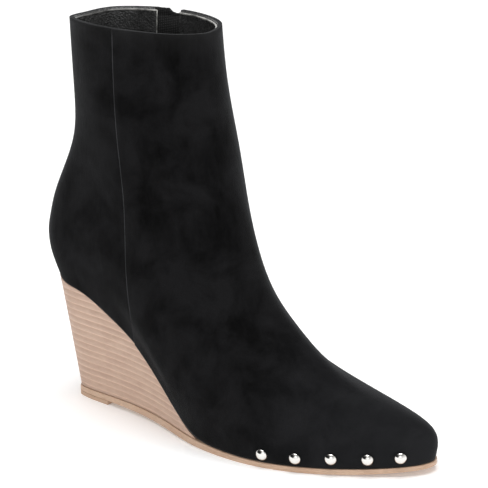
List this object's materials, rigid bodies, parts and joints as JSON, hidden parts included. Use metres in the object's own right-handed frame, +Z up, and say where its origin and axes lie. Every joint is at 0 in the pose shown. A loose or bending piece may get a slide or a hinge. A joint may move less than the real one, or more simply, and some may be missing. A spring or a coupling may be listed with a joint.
{
  "type": "wedge ankle boot",
  "caption": "Pointed ankle boot in black suede on a stacked wedge heel, with dome studs along the forefoot and an inner side zip.",
  "frame": {"origin": "on the floor, under the heel tip, on the middle line of the heel", "axes": "+X from heel to toe, +Y towards the inner side of the foot, +Z up"},
  "size_m": [0.2538, 0.0809, 0.2309],
  "materials": {
    "suede": "matt nap",
    "stack": "stacked layers, satin",
    "sole_leather": "smooth",
    "tip_rubber": "smooth",
    "lining_leather": "smooth, fine grain",
    "steel": "polished",
    "tape": "woven",
    "teeth": "dark"
  },
  "bodies": {
    "boot": {"upper": "suede", "wedge": "stack", "outsole": "sole_leather", "heel_tip": "tip_rubber", "insole": "lining_leather", "stud_outer_1": "steel", "stud_outer_2": "steel", "stud_outer_3": "steel", "stud_outer_4": "steel", "stud_outer_5": "steel", "stud_inner_1": "steel", "stud_inner_2": "steel", "stud_inner_3": "steel", "stud_inner_4": "steel", "stud_inner_5": "steel", "zip_tape": "tape", "zip_chain": "teeth", "zip_slider": "steel"},
    "pull_tab": {"zip_pull": "steel"}
  },
  "joints": [
    {"name": "pull_tab_swing", "type": "hinge", "parent": "boot", "child": "pull_tab", "pos_m": [0.0313, 0.0358, 0.2109], "axis": [1, 0, 0], "range_deg": [0, 160]}
  ]
}
